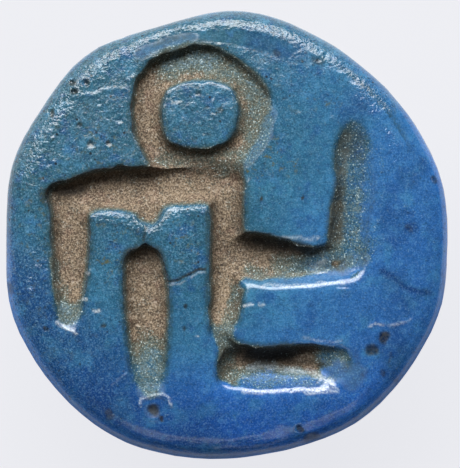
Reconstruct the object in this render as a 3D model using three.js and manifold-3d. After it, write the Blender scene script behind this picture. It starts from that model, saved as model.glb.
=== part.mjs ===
// Button amulet of blue-glazed faience: a thick, slightly uneven round disc with a sunken figure carved in its face,
// and a pierced shank on its back for a cord. It was moulded, carved and fired in one piece, so it is one solid.
// Millimetres. +Z comes out of the carved face and +Y is the top of the figure. The origin is the middle of the
// shank's worn flat foot, on which the amulet lies face up.
import * as THREE from "three";
import { mergeVertices } from "three/addons/utils/BufferGeometryUtils.js";
import Module from "manifold-3d";

// The disc.
const meanRadius = 9.15;
const discThickness = 3.2; // at the middle, from the back to the face
const faceDome = 0.35; // fall of the face from its middle to where its edge starts to round over
const backDome = 0.5; // rise of the back from the shank to where its edge starts to round over
const faceEdgeRun = 1.4; // width of the rounding at the face's edge
const faceEdgeDrop = 1.05; // height of that rounding
const backEdgeRun = 1.7; // width of the rounding at the back's edge

// The rim isn't a true circle: slow waves run round it.
// Each is [waves in a turn, height as a share of the mean radius, angle of a crest in degrees].
const rimWaves = [
  [1, 0.0181, -127.5],
  [2, 0.0051, -62],
  [3, 0.0105, -15.5],
  [4, 0.0059, -39.5],
  [5, 0.0048, 8],
  [6, 0.0048, 18.5],
  [8, 0.0031, -15],
  [9, 0.0026, 5.5],
  [10, 0.0038, 17.5],
];

// The shank, a short thick loop whose hole runs along X.
const holeDiameter = 1.9;
const footWall = 1.2; // material between the hole and the foot
const rootWall = 1.1; // space between the hole and the disc's back
const sideWall = 1.65; // material on each side of the hole
const shankThickness = 4.0; // along the hole
const rootFlare = 1.2; // concave flare that carries the shank into the back
const rootSink = 0.2; // how far the flare's rim lies inside the back, which rises away from it
const footRoundAlong = 0.5; // rounding of the foot's edges, measured along the hole
const footRoundAcross = 1.05; // and across it, where it makes the loop's arch
const mouthFlare = 0.25; // widening of the hole's two mouths, worn by the cord
const mouthDepth = 0.6;

// How finely curves are cut into facets.
const rimFacets = 84;
const edgeFacets = 5;
const shankFacets = 36;
const holeFacets = 28;
const strokeStep = 0.48; // distance between a stroke's cross-sections
const endFacets = 4; // cross-sections in a stroke's round end

// Heights that follow from the sizes above.
const holeRadius = holeDiameter / 2;
const holeHeight = footWall + holeRadius;
const shankHeight = footWall + holeDiameter + rootWall;
const faceTop = shankHeight + discThickness;
const widestHeight = faceTop - faceDome - faceEdgeDrop;
const shankHalfAlong = shankThickness / 2;
const shankHalfAcross = holeRadius + sideWall;

// The carved figure. Places and half widths are in hundredths of the mean radius, from the disc's middle, and depths
// are shares of the deepest cut. Each station is [x, y, half width, depth].
const deepestCut = 1.0;
const clearAbove = 0.6; // how far a cutting tool stands above the face
const ringCentre = [-11.8, 54.2];
// Eight stations round the ring, 45 degrees apart, starting towards +X: [radius, half width, depth].
const ringStations = [
  [24.5, 6.5, 0.4],
  [23.5, 6.0, 0.42],
  [22.5, 7.5, 0.45],
  [25, 8, 0.55],
  [24.8, 6.8, 0.6],
  [25.5, 7.0, 0.6],
  [21.5, 4.5, 0.5],
  [23.5, 5.5, 0.45],
];
const softWall = 2.2; // wall shapes: the higher the power, the steeper the wall
const firmWall = 3.2;
const steepWall = 5;
const strokes = {
  bar: {
    left: steepWall,
    right: firmWall,
    stations: [
      [-73.5, 16.5, 5.5, 0.55],
      [-65.5, 17.5, 7.5, 0.7],
      [-54, 19.5, 9, 0.75],
      [-41, 20, 9.5, 0.75],
      [-27.5, 21, 9, 0.75],
      [-12, 22, 9, 0.75],
      [0, 22, 8.5, 0.75],
    ],
  },
  leftLeg: {
    left: firmWall,
    right: firmWall,
    stations: [
      [-70, 13, 8.6, 0.65],
      [-70, 0, 8.7, 0.6],
      [-70, -13, 8.1, 0.5],
      [-70, -23, 7.2, 0.4],
      [-70, -31, 6.3, 0.28],
      [-70, -37, 5.3, 0.16],
    ],
  },
  middleLeg: {
    left: firmWall,
    right: firmWall,
    stations: [
      [-36, -4, 2, 0.45],
      [-36.5, -8, 5, 0.55],
      [-37, -13, 8, 0.6],
      [-36, -22.5, 9.5, 0.6],
      [-35.5, -36, 9.5, 0.55],
      [-35, -49.5, 8.5, 0.4],
      [-34.5, -62.5, 7.5, 0.2],
    ],
  },
  stem: {
    left: softWall,
    right: steepWall,
    stations: [
      [0, 25, 8, 0.7],
      [0, 8.5, 8, 0.75],
      [-0.5, -9, 8, 0.75],
      [-0.5, -25, 8, 0.65],
      [-1, -36, 7, 0.45],
      [-2, -42, 5.5, 0.2],
    ],
  },
  arm: {
    left: steepWall,
    right: softWall,
    stations: [
      [2.5, -10, 11, 0.85],
      [12.5, -11, 12, 0.85],
      [24, -13, 11, 0.85],
      [35, -13, 10, 0.8],
      [45.5, -12.5, 8.5, 0.6],
      [53, -10.5, 8, 0.45],
    ],
  },
  raisedEnd: {
    left: firmWall,
    right: softWall,
    stations: [
      [52.5, -11, 9.5, 0.5],
      [53, -1.5, 10, 0.48],
      [54.5, 9, 9.2, 0.45],
      [57, 20, 7.8, 0.42],
      [56.5, 31, 8.2, 0.38],
      [57, 40, 7.1, 0.28],
      [57.5, 45.5, 4.8, 0.16],
    ],
  },
  lowerStroke: {
    left: steepWall,
    right: softWall,
    stations: [
      [4, -59.5, 9.5, 0.75],
      [16, -60, 11, 1],
      [28.5, -58.5, 11.5, 1],
      [39.5, -58.5, 11, 0.75],
      [48.5, -57, 8.5, 0.35],
    ],
  },
  notch: {
    left: softWall,
    right: softWall,
    stations: [
      [-33, 13, 6.5, 0.6],
      [-33, 9.5, 5.2, 0.5],
      [-32.5, 6, 3.2, 0.35],
      [-32.5, 3.3, 1.5, 0.15],
    ],
  },
  link: {
    left: softWall,
    right: softWall,
    stations: [
      [-2.5, -44, 3.5, 0.25],
      [2.5, -52.5, 3.5, 0.4],
    ],
  },
};

const wasm = await Module();
wasm.setup();

// A closed three.js geometry as a solid that can be joined and cut.
function solidOf(geometry) {
  const bare = geometry.clone();
  bare.deleteAttribute("normal");
  bare.deleteAttribute("uv");
  const merged = mergeVertices(bare);
  const corners = merged.index.array;
  const whole = [];
  for (let i = 0; i < corners.length; i += 3) {
    const [a, b, c] = [corners[i], corners[i + 1], corners[i + 2]];
    if (a !== b && b !== c && c !== a) whole.push(a, b, c);
  }
  return new wasm.Manifold(
    new wasm.Mesh({
      numProp: 3,
      vertProperties: new Float32Array(merged.attributes.position.array),
      triVerts: new Uint32Array(whole),
    }),
  );
}

function geometryOf(solid) {
  const mesh = solid.getMesh();
  const geometry = new THREE.BufferGeometry();
  geometry.setAttribute("position", new THREE.BufferAttribute(mesh.vertProperties, mesh.numProp));
  geometry.setIndex(new THREE.BufferAttribute(mesh.triVerts, 1));
  geometry.computeVertexNormals();
  return geometry;
}

// A skin through rings of equally many points. Each ring runs anticlockwise seen from the next one. The two ends are
// filled, unless the rings close on themselves.
function loft(rings, closesOnItself = false) {
  const around = rings[0].length;
  const points = rings.flat();
  const faces = [];
  const spans = closesOnItself ? rings.length : rings.length - 1;
  for (let r = 0; r < spans; r += 1) {
    const low = r * around;
    const high = ((r + 1) % rings.length) * around;
    for (let i = 0; i < around; i += 1) {
      const next = (i + 1) % around;
      faces.push(low + i, low + next, high + next, low + i, high + next, high + i);
    }
  }
  if (!closesOnItself) {
    const last = (rings.length - 1) * around;
    const startMiddle = points.push(middleOf(rings[0])) - 1;
    const endMiddle = points.push(middleOf(rings[rings.length - 1])) - 1;
    for (let i = 0; i < around; i += 1) {
      const next = (i + 1) % around;
      faces.push(startMiddle, next, i, endMiddle, last + i, last + next);
    }
  }
  return new THREE.BufferGeometry().setFromPoints(points).setIndex(faces);
}

function middleOf(ring) {
  const sum = ring.reduce((total, point) => total.add(point), new THREE.Vector3());
  return sum.divideScalar(ring.length);
}

const radians = THREE.MathUtils.degToRad;
const turn = 2 * Math.PI;

function outlineRadius(angle) {
  const wave = ([count, share, crest]) => share * Math.cos(count * (angle - radians(crest)));
  return meanRadius * rimWaves.reduce((total, each) => total + wave(each), 1);
}

// The outline's points, moved so that the middle of its box is on the shank's axis.
function centredOutline() {
  const points = [];
  for (let i = 0; i < rimFacets; i += 1) {
    const angle = (turn * i) / rimFacets;
    const radius = outlineRadius(angle);
    points.push(new THREE.Vector2(radius * Math.cos(angle), radius * Math.sin(angle)));
  }
  const middle = new THREE.Box2().setFromPoints(points).getCenter(new THREE.Vector2());
  return points.map((point) => point.sub(middle));
}

// Height of the face over a place on it, without the carving.
function faceHeight(x, y) {
  const flatRadius = outlineRadius(Math.atan2(y, x)) - faceEdgeRun;
  const share = Math.min(1, Math.hypot(x, y) / flatRadius);
  return faceTop - faceDome * share * share;
}

// The disc as a stack of rings, from the middle of the back, round the rim, to the middle of the face.
function discGeometry() {
  const outline = centredOutline();
  const ringAt = (share, inset, height) =>
    outline.map((point) => {
      const radius = (point.length() - inset) * share;
      const place = point.clone().setLength(radius);
      return new THREE.Vector3(place.x, place.y, height);
    });
  const backEdge = shankHeight + backDome;
  const backEdgeRise = widestHeight - backEdge;
  const rings = [];
  for (const share of [0.3, 0.55, 0.8]) {
    rings.push(ringAt(share, backEdgeRun, shankHeight + backDome * share * share));
  }
  for (let i = 0; i < edgeFacets; i += 1) {
    const angle = (Math.PI / 2) * (i / edgeFacets);
    const inset = backEdgeRun * (1 - Math.sin(angle));
    rings.push(ringAt(1, inset, backEdge + backEdgeRise * (1 - Math.cos(angle))));
  }
  for (let i = 0; i <= edgeFacets; i += 1) {
    const angle = (Math.PI / 2) * (i / edgeFacets);
    const inset = faceEdgeRun * (1 - Math.cos(angle));
    rings.push(ringAt(1, inset, widestHeight + faceEdgeDrop * Math.sin(angle)));
  }
  for (const share of [0.8, 0.6, 0.4, 0.2]) {
    rings.push(ringAt(share, faceEdgeRun, faceTop - faceDome * share * share));
  }
  return loft(rings);
}

// The shank as a stack of rounded oblongs, from its flat foot up into the disc.
function shankGeometry() {
  const squareness = 3;
  const sinkIntoDisc = discThickness / 3;
  const footRise = holeHeight;
  const flareStart = shankHeight + rootSink - rootFlare;
  const halfAt = (half, footRound, height) => {
    const below = Math.max(0, 1 - height / footRise);
    const above = Math.min(1, Math.max(0, (height - flareStart) / rootFlare));
    const taken = footRound * (1 - Math.sqrt(1 - below * below));
    const added = rootFlare * (1 - Math.sqrt(1 - above * above));
    return half - taken + added;
  };
  const ringAt = (height) => {
    const along = halfAt(shankHalfAlong, footRoundAlong, height);
    const across = halfAt(shankHalfAcross, footRoundAcross, height);
    const bulge = (value) => Math.sign(value) * Math.abs(value) ** (2 / squareness);
    return Array.from({ length: shankFacets }, (_, i) => {
      const angle = (turn * i) / shankFacets;
      return new THREE.Vector3(along * bulge(Math.cos(angle)), across * bulge(Math.sin(angle)), height);
    });
  };
  const footHeights = [0, 0.03, 0.1, 0.22, 0.4, 0.65, 1].map((share) => share * footRise);
  const flareHeights = [0.001, 0.35, 0.6, 0.8, 0.92, 1].map((share) => flareStart + share * rootFlare);
  const heights = [...footHeights, ...flareHeights.filter((height) => height > footRise), shankHeight + sinkIntoDisc];
  return loft(heights.map(ringAt));
}

// The cord hole with its two worn mouths, as the solid that is taken away.
function holeGeometry() {
  const reach = shankHalfAlong + rootFlare;
  const mouthRadius = holeRadius + mouthFlare;
  const profile = [
    [0, -reach],
    [mouthRadius, -reach],
    [mouthRadius, -shankHalfAlong],
    [holeRadius, mouthDepth - shankHalfAlong],
    [holeRadius, shankHalfAlong - mouthDepth],
    [mouthRadius, shankHalfAlong],
    [mouthRadius, reach],
    [0, reach],
  ].map(([radius, along]) => new THREE.Vector2(radius, along));
  const geometry = new THREE.LatheGeometry(profile, holeFacets);
  return geometry.rotateZ(Math.PI / 2).translate(0, 0, holeHeight);
}

// Places across a stroke, from its right lip (1) to its left lip (-1).
const acrossStroke = [1, 0.9, 0.74, 0.45, 0, -0.45, -0.74, -0.9, -1];

// One cross-section of a stroke's cutting tool, seen from ahead: over the face, then down one wall, across the floor
// and up the other.
function sectionAt({ place, heading, halfWidth, depth }, left, right) {
  const side = new THREE.Vector2(heading.y, -heading.x);
  const pointAt = (across, height) => {
    const x = place.x + side.x * halfWidth * across;
    const y = place.y + side.y * halfWidth * across;
    return new THREE.Vector3(x, y, faceHeight(x, y) + height);
  };
  const floor = acrossStroke.map((across) => {
    const power = across > 0 ? right : left;
    return pointAt(across, -depth * (1 - Math.abs(across) ** power));
  });
  return [pointAt(-1, clearAbove), pointAt(1, clearAbove), ...floor];
}

// Sections along a smooth line through the stations.
function sectionsAlong(stations, closesOnItself) {
  const unit = meanRadius / 100;
  const line = stations.map(([x, y]) => new THREE.Vector3(x * unit, y * unit, 0));
  const cut = stations.map(([, , halfWidth, depth]) => new THREE.Vector3(halfWidth * unit, depth * deepestCut, 0));
  const path = new THREE.CatmullRomCurve3(line, closesOnItself, "catmullrom", 0.5);
  const gauge = new THREE.CatmullRomCurve3(cut, closesOnItself, "catmullrom", 0.5);
  const steps = Math.max(2, Math.round(path.getLength() / strokeStep));
  const count = closesOnItself ? steps : steps + 1;
  return Array.from({ length: count }, (_, i) => {
    const at = i / steps;
    const place = path.getPoint(at);
    const heading = path.getTangent(at);
    const size = gauge.getPoint(at);
    return { place, heading, halfWidth: size.x, depth: size.y };
  });
}

// The round end of a stroke: its sections narrow and rise along a quarter circle. way is -1 before the start, 1 after
// the end.
function roundEnd(section, way, wall) {
  return Array.from({ length: endFacets }, (_, i) => {
    const angle = radians(82) * ((i + 1) / endFacets);
    const reach = Math.sin(angle);
    const place = section.place.clone().addScaledVector(section.heading, way * section.halfWidth * reach);
    const depth = section.depth * (1 - reach ** wall);
    return { ...section, place, halfWidth: section.halfWidth * Math.cos(angle), depth };
  });
}

function strokeGeometry({ stations, left, right }) {
  const along = sectionsAlong(stations, false);
  const before = roundEnd(along[0], -1, firmWall).reverse();
  const after = roundEnd(along[along.length - 1], 1, firmWall);
  return loft([...before, ...along, ...after].map((section) => sectionAt(section, left, right)));
}

function ringGeometry() {
  const stations = ringStations.map(([radius, halfWidth, depth], i) => {
    const angle = (turn * i) / ringStations.length;
    const x = ringCentre[0] + radius * Math.cos(angle);
    const y = ringCentre[1] + radius * Math.sin(angle);
    return [x, y, halfWidth, depth];
  });
  const sections = sectionsAlong(stations, true);
  return loft(
    sections.map((section) => sectionAt(section, firmWall, steepWall)),
    true,
  );
}

function carvedFigure() {
  const tools = Object.values(strokes).map(strokeGeometry);
  return [...tools, ringGeometry()].map(solidOf).reduce((whole, tool) => whole.add(tool));
}

const glaze = new THREE.MeshStandardMaterial({ color: 0x2a79b5, roughness: 0.3, metalness: 0 });

const disc = solidOf(discGeometry());
const shank = solidOf(shankGeometry());
const hole = solidOf(holeGeometry());
const amulet = disc.add(shank).subtract(hole).subtract(carvedFigure());

const buttonAmulet = new THREE.Mesh(geometryOf(amulet), glaze);
buttonAmulet.name = "button_amulet";

const part = new THREE.Group();
part.add(buttonAmulet);

export default part;
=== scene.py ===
# %% [markdown]
# # A blue-glazed button amulet
# The real thing is a button of quartz paste, pressed in a mould, carved while soft, and fired once. Its blue glaze
# grew out of the paste by itself. It is thick on what stands proud and thin or missing in the carved floors.
# The CAD frame already holds the true size and the true carving, so we load it first and never move it.
# Everything that is made here has to stay inside its box.

import bpy
import numpy as np
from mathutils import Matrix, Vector
from mathutils.bvhtree import BVHTree


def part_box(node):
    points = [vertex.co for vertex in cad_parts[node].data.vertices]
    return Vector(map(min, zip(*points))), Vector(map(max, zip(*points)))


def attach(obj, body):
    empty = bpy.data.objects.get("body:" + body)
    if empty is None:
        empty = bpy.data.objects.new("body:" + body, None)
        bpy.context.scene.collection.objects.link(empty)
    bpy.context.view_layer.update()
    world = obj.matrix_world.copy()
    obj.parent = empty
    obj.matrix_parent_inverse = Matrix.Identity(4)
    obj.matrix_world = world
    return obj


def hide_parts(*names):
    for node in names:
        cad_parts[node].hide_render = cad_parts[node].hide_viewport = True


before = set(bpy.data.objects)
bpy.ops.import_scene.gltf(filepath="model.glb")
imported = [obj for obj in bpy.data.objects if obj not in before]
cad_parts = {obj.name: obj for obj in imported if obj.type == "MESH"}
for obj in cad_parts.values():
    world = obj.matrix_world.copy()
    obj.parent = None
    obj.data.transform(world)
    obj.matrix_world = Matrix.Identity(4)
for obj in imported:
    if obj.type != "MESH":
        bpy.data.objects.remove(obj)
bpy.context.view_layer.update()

low_corner, high_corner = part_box("button_amulet")
MM = 0.001
print("CAD size in mm:", [round(side / MM, 2) for side in high_corner - low_corner])

# %% [markdown]
# ## The camera
# The photograph looks straight down on the carved face. Its height shows 468 pixels, and on the amulet's widest
# level one pixel is 0.0408 mm. A long lens from a few centimetres up keeps the rim from leaning outwards.

# %% Set the camera over the face
PIXEL = 0.0408 * MM
PHOTO_WIDTH, PHOTO_HEIGHT = 460, 468
OUTLINE_MIDDLE = (226.5, 234.5)
LENS, SENSOR = 120.0, 36.0
WIDEST_LEVEL = 5.99 * MM
CLIP_START, CLIP_END = 1 * MM, 10.0

camera_data = bpy.data.cameras.new("camera")
camera_data.lens = LENS
camera_data.sensor_width = SENSOR
camera = bpy.data.objects.new("camera", camera_data)
bpy.context.scene.collection.objects.link(camera)
camera_height = WIDEST_LEVEL + LENS / SENSOR * PHOTO_HEIGHT * PIXEL
camera_x = (PHOTO_WIDTH / 2 - OUTLINE_MIDDLE[0]) * PIXEL
camera_y = (OUTLINE_MIDDLE[1] - PHOTO_HEIGHT / 2) * PIXEL
camera.location = (camera_x, camera_y, camera_height)
camera_data.clip_start = CLIP_START
camera_data.clip_end = CLIP_END
bpy.context.scene.camera = camera
print("camera height in mm:", round(camera_height / MM, 1))

# %% [markdown]
# ## The light table
# The background of the photograph is pale, even and free of shadow, as on a light table. A white sheet under a lamp
# would show a shadow, so the floor is a plain sheet that glows by itself. Its glow also brightens the rim where it
# turns away from us.

# %% A helper for plain shader values
def set_inputs(node, values):
    for name, value in values.items():
        node.inputs[name].default_value = value


# %% Lay the glowing floor
FLOOR_SIZE = 3.0
FLOOR_GREY = (0.05, 0.05, 0.05, 1)
FLOOR_GLOW = (0.78, 0.785, 0.825, 1)

bpy.ops.object.select_all(action="DESELECT")
bpy.ops.mesh.primitive_plane_add(size=FLOOR_SIZE)
floor = bpy.context.active_object
floor.name = "light_table"
table_top = bpy.data.materials.new("light_table")
table_top.use_nodes = True
set_inputs(
    table_top.node_tree.nodes["Principled BSDF"],
    {
        "Base Color": FLOOR_GREY,
        "Roughness": 1.0,
        "Specular IOR Level": 0.0,
        "Emission Color": FLOOR_GLOW,
        "Emission Strength": 1.0,
    },
)
floor.data.materials.append(table_top)
print("floor laid:", floor.name)

# %% [markdown]
# From a low side the far edge of the floor would show as a black line. An open ring of wall with the same glow hides
# it. The wall is there for the camera alone: it lights nothing and shows in no reflection. It stands less than a metre
# away, because a camera that is set up for so small a thing may see little farther.

# %% Stand a wall round the floor
WALL_RADIUS, WALL_HEIGHT, WALL_SIDES = 0.9, 1.6, 96

bpy.ops.object.select_all(action="DESELECT")
bpy.ops.mesh.primitive_cylinder_add(
    vertices=WALL_SIDES,
    radius=WALL_RADIUS,
    depth=WALL_HEIGHT,
    end_fill_type="NOTHING",
    location=(0, 0, WALL_HEIGHT / 2),
)
backdrop = bpy.context.active_object
backdrop.name = "backdrop"
backdrop.data.materials.append(table_top)
for kind_of_ray in ("diffuse", "glossy", "shadow", "transmission"):
    setattr(backdrop, "visible_" + kind_of_ray, False)
print("wall sides:", len(backdrop.data.polygons))

# %% [markdown]
# ## The lamps
# One soft box stands beyond the top of the picture, 44 degrees up. It draws the long white lines on the lower lips of
# the carving. A point lamp would draw them as hard dots, so it is a wide one. A much weaker one opposite lights the
# lower rim.

# %% Hang the lamps
LAMP_DISTANCE = 0.30
ROOM_LIGHT = 0.12


def soft_box(name, azimuth, elevation, size, watts):
    """A rectangular lamp aimed at the amulet. Azimuth 0 is beyond the top of the picture, turning to its right."""
    data = bpy.data.lights.new(name, "AREA")
    data.shape = "RECTANGLE"
    data.size, data.size_y = size
    data.energy = watts
    lamp = bpy.data.objects.new(name, data)
    bpy.context.scene.collection.objects.link(lamp)
    turn, rise = np.radians(azimuth), np.radians(elevation)
    out = Vector((np.sin(turn) * np.cos(rise), np.cos(turn) * np.cos(rise), np.sin(rise)))
    lamp.location = Vector((0, 0, high_corner.z)) + out * LAMP_DISTANCE
    lamp.rotation_mode = "QUATERNION"
    lamp.rotation_quaternion = out.to_track_quat("Z", "Y")


soft_box("key", azimuth=-10, elevation=44, size=(0.40, 0.16), watts=2.3)
soft_box("low_fill", azimuth=175, elevation=50, size=(0.25, 0.05), watts=0.06)

world = bpy.data.worlds.new("studio")
world.use_nodes = True
world.node_tree.nodes["Background"].inputs["Strength"].default_value = ROOM_LIGHT
bpy.context.scene.world = world
bpy.context.scene.view_settings.view_transform = "Standard"
print("lamps:", [light.name for light in bpy.data.lights])

# %% [markdown]
# ## The body of the amulet
# The CAD solid has flat facets and sharp lips, but fired glaze has neither. Each lip could be bevelled, but they
# cross and end freely, and a bevel fails there. So a copy of the solid is remeshed into small even squares, which are
# then smoothed until the lips are round. We work in millimetres, because a few of Blender's settings can't go as small
# as this object, and return to metres at the end.

# %% Copy and clean the CAD solid
def apply_modifier(piece, kind, name, **settings):
    modifier = piece.modifiers.new(name, kind)
    for key, value in settings.items():
        setattr(modifier, key, value)
    bpy.context.view_layer.objects.active = piece
    bpy.ops.object.modifier_apply(modifier=name)


WELD_DISTANCE = 1e-7
bpy.ops.object.select_all(action="DESELECT")
amulet = bpy.data.objects.new("glazed_amulet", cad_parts["button_amulet"].data.copy())
bpy.context.scene.collection.objects.link(amulet)
amulet.data.materials.clear()
amulet.select_set(True)
bpy.context.view_layer.objects.active = amulet
bpy.ops.object.mode_set(mode="EDIT")
bpy.ops.mesh.select_all(action="SELECT")
bpy.ops.mesh.remove_doubles(threshold=WELD_DISTANCE)
bpy.ops.object.mode_set(mode="OBJECT")
amulet.scale = (1 / MM,) * 3
bpy.ops.object.transform_apply(location=False, rotation=False, scale=True)
print("copied solid:", len(amulet.data.polygons), "faces")

# %% [markdown]
# ### Maps of the face
# Lumps, dirt and glaze are worked out on an even grid over the face, seen from above, and then read at the place of
# each vertex. A blur gives a soft answer where one is wanted.

# %% Lay a grid over the face
MAP_STEP = 0.06
MAP_HALF = 9.6
places = np.arange(-MAP_HALF, MAP_HALF + MAP_STEP / 2, MAP_STEP)
grid_x, grid_y = np.meshgrid(places, places)
print("map of", grid_x.shape, "cells")

# %% Helpers that blur a map and read it at any place
def blurred(field, radius):
    reach = int(np.ceil(3 * radius / MAP_STEP))
    offsets = np.arange(-reach, reach + 1) * MAP_STEP
    kernel = np.exp(-0.5 * (offsets / radius) ** 2)
    kernel /= kernel.sum()
    for axis in (0, 1):
        field = np.apply_along_axis(lambda line: np.convolve(line, kernel, "same"), axis, field)
    return field


def read_map(field, x, y):
    column = np.clip((x + MAP_HALF) / MAP_STEP, 0, len(places) - 1.001)
    row = np.clip((y + MAP_HALF) / MAP_STEP, 0, len(places) - 1.001)
    c, r = column.astype(int), row.astype(int)
    u, v = column - c, row - r
    near = field[r, c] * (1 - u) + field[r, c + 1] * u
    far = field[r + 1, c] * (1 - u) + field[r + 1, c + 1] * u
    return near * (1 - v) + far * v


def ramp(value, start, end):
    """0 before start, 1 after end, and a smooth rise between them."""
    share = np.clip((value - start) / (end - start), 0, 1)
    return share * share * (3 - 2 * share)


print("a step from 0 to 1 is, halfway:", ramp(0.5, 0, 1))

# %% Helpers that know the uncarved face
FACE_DOME, FACE_REACH, FACE_LIMIT = 0.35, 7.75, 1.25
CARVED_REACH = 8.2
face_top = high_corner.z / MM


def dome_height(x, y):
    """How high the uncarved face stands. It is a shallow dome."""
    return face_top - FACE_DOME * np.minimum(FACE_LIMIT, np.hypot(x, y) / FACE_REACH) ** 2


def in_mm(pixel_x, pixel_y):
    """A place in the photograph as a place on the amulet, in millimetres."""
    scale = PIXEL / MM
    return (pixel_x - OUTLINE_MIDDLE[0]) * scale, (OUTLINE_MIDDLE[1] - pixel_y) * scale


print("the picture's middle lies at", in_mm(PHOTO_WIDTH / 2, PHOTO_HEIGHT / 2), "mm")

# %% [markdown]
# ### Painting
# Where the glaze ran thick or thin, which lips are worn soft and which spots are stained follows no rule, so it is
# painted. A stroke has a strength, a width and a few places in the photograph's pixels that it runs through.
# Painting on the mesh's own vertices keeps every mark on the surface, seen from any side.

# %% A brush for strokes
def away_from_line(x, y, spots):
    """Distance from each point to the line through the spots, in millimetres."""
    line = [in_mm(*spot) for spot in spots]
    nearest = np.hypot(x - line[0][0], y - line[0][1])
    for (x0, y0), (x1, y1) in zip(line, line[1:]):
        run_x, run_y = x1 - x0, y1 - y0
        share = ((x - x0) * run_x + (y - y0) * run_y) / (run_x**2 + run_y**2)
        share = np.clip(share, 0, 1)
        nearest = np.minimum(nearest, np.hypot(x - x0 - share * run_x, y - y0 - share * run_y))
    return nearest


def brush(field, strokes, x, y, feather=0.4):
    """Each stroke pulls the field to its own strength, fully in the middle and softly at its edge."""
    for strength, radius, spots in strokes:
        away = away_from_line(x, y, spots) / (radius * PIXEL / MM)
        cover = ramp(away, 1 + feather, 1 - feather)
        field = field + (strength - field) * cover
    return field


top_edge = [(0, 0), (PHOTO_WIDTH, 0)]
print("mm from the middle to the picture's top edge:", round(float(away_from_line(0.0, 0.0, top_edge)), 2))

# %% Uneven maps, the same in every run
rng = np.random.default_rng(5)


def rough_map(size):
    """An even random map with lumps of the given size in millimetres, from about -2 to 2."""
    field = blurred(rng.normal(size=grid_x.shape), size)
    return field / field.std()


SHAKE, SHAKE_SIZE = 0.03, 0.15
shake_x, shake_y = rough_map(SHAKE_SIZE), rough_map(SHAKE_SIZE)


def shaky(x, y):
    """The places moved a little to and fro, so that no painted edge is even."""
    return x + SHAKE * read_map(shake_x, x, y), y + SHAKE * read_map(shake_y, x, y)


print("edges shake by up to", round(SHAKE * float(np.abs(shake_x).max()), 2), "mm")

# %% Helpers that read and write the mesh as arrays
def points_of(piece):
    flat = np.empty(len(piece.data.vertices) * 3, np.float32)
    piece.data.vertices.foreach_get("co", flat)
    return flat.reshape(-1, 3).astype(float)


def move_points(piece, points):
    piece.data.vertices.foreach_set("co", points.astype(np.float32).ravel())
    piece.data.update()


def weigh(piece, name, weights, steps=32):
    """A vertex group with a weight for every vertex, in even steps."""
    group = piece.vertex_groups.new(name=name)
    levels = np.round(weights * steps).astype(int)
    for level in range(1, steps + 1):
        members = np.nonzero(levels == level)[0].tolist()
        if members:
            group.add(members, level / steps, "REPLACE")


def write_attribute(piece, name, values):
    attribute = piece.data.attributes.new(name, "FLOAT", "POINT")
    attribute.data.foreach_set("value", values.astype(np.float32))


print("vertices read:", len(points_of(amulet)))

# %% Remesh the solid
VOXEL = 0.06
WIDEST = WIDEST_LEVEL / MM
apply_modifier(amulet, "REMESH", "fine_skin", mode="VOXEL", voxel_size=VOXEL, use_smooth_shade=True)
print("remeshed:", len(amulet.data.vertices), "vertices")

# %% [markdown]
# ### Lips cut by hand
# The CAD lips are plain curves. The real ones were cut freehand and wander by a few pixels. They could be dragged in
# sculpt mode, but a lesson can't record that, so each is nudged sideways by numbers, softly, to where it lies in the
# photograph. Six places are filled up, some almost to the face: the tip of the middle leg, the arm, the right side of
# the ring, and the right end of the short stroke.

# %% Nudge the lips
# How far to the right and down, how wide, and along which line, all in the photograph's pixels.
NUDGES = [
    (4.5, 0, 9, [(127, 85), (126, 110), (128, 128)]),
    (3.5, -0.5, 8, [(131, 140), (140, 156)]),
    (3, 4.5, 9, [(137, 70), (147, 56), (160, 50), (172, 46)]),
    (0, 6.5, 7, [(176, 43), (187, 42)]),
    (0, 0.5, 5, [(194, 44), (200, 44)]),
    (0, 3.5, 6, [(207, 43), (219, 44)]),
    (-1, 4, 9, [(230, 52), (240, 58), (250, 66)]),
    (2.5, 0, 8, [(267, 92), (270, 105)]),
    (0, 4.5, 8, [(172, 82), (185, 77), (200, 75.5), (215, 76), (228, 80)]),
    (2.5, 0, 7, [(160, 96), (159, 110), (161, 125)]),
    (-2, 0, 7, [(240, 96), (241, 110), (240, 124)]),
    (3.5, 0, 8, [(50, 212), (50, 250), (52, 280), (56, 305)]),
    (3.5, 0, 8, [(86, 224), (84, 260), (82, 290), (78, 314)]),
    (2.5, 3, 6, [(87, 211), (89, 211)]),
    (-4, 4, 7, [(137, 211), (142, 215)]),
    (3.5, 0, 6, [(206, 212), (206, 255), (206, 300)]),
    (0, 4, 7, [(132, 246), (143, 241), (152, 245)]),
    (4.5, 0, 7, [(154, 252), (159, 262)]),
    (3, 0, 8, [(163, 278), (166, 300), (166, 330), (164, 352), (161, 376)]),
    (-1.5, 0, 7, [(124, 262), (130, 252)]),
    (0, -5.5, 11, [(243, 394), (262, 397), (280, 396)]),
    (0, -4, 11, [(295, 394), (306, 393)]),
    (0, 1, 10, [(318, 390), (332, 389)]),
    (0, -2.5, 8, [(222, 387), (231, 391)]),
    (0, -8, 9, [(246, 378), (262, 378), (300, 378)]),
    (0, -4, 8, [(314, 379), (320, 380)]),
    (0, 3, 7, [(272, 343), (300, 340), (315, 341)]),
    (0, 2, 7, [(318, 344), (345, 346)]),
    (0, -4, 7, [(230, 351), (241, 348)]),
    (4, 0, 8, [(214, 360), (215, 374)]),
    (-4, 0, 8, [(355, 354), (356, 366)]),
    (0, -3.5, 9, [(252, 288), (270, 291), (290, 290), (306, 288)]),
    (0, -2, 8, [(317, 286), (320, 285)]),
    (0, 4.5, 8, [(300, 242), (319, 242)]),
    (-3.5, 0, 9, [(351, 127), (344, 145), (340, 165)]),
    (-1, 0, 8, [(337, 185), (333, 205)]),
    (2.5, 0, 8, [(325, 222), (325, 236)]),
    (3, 0, 9, [(367, 145), (370, 170), (370, 205)]),
]
NUDGE_FEATHER = 0.85
points = points_of(amulet)
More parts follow.
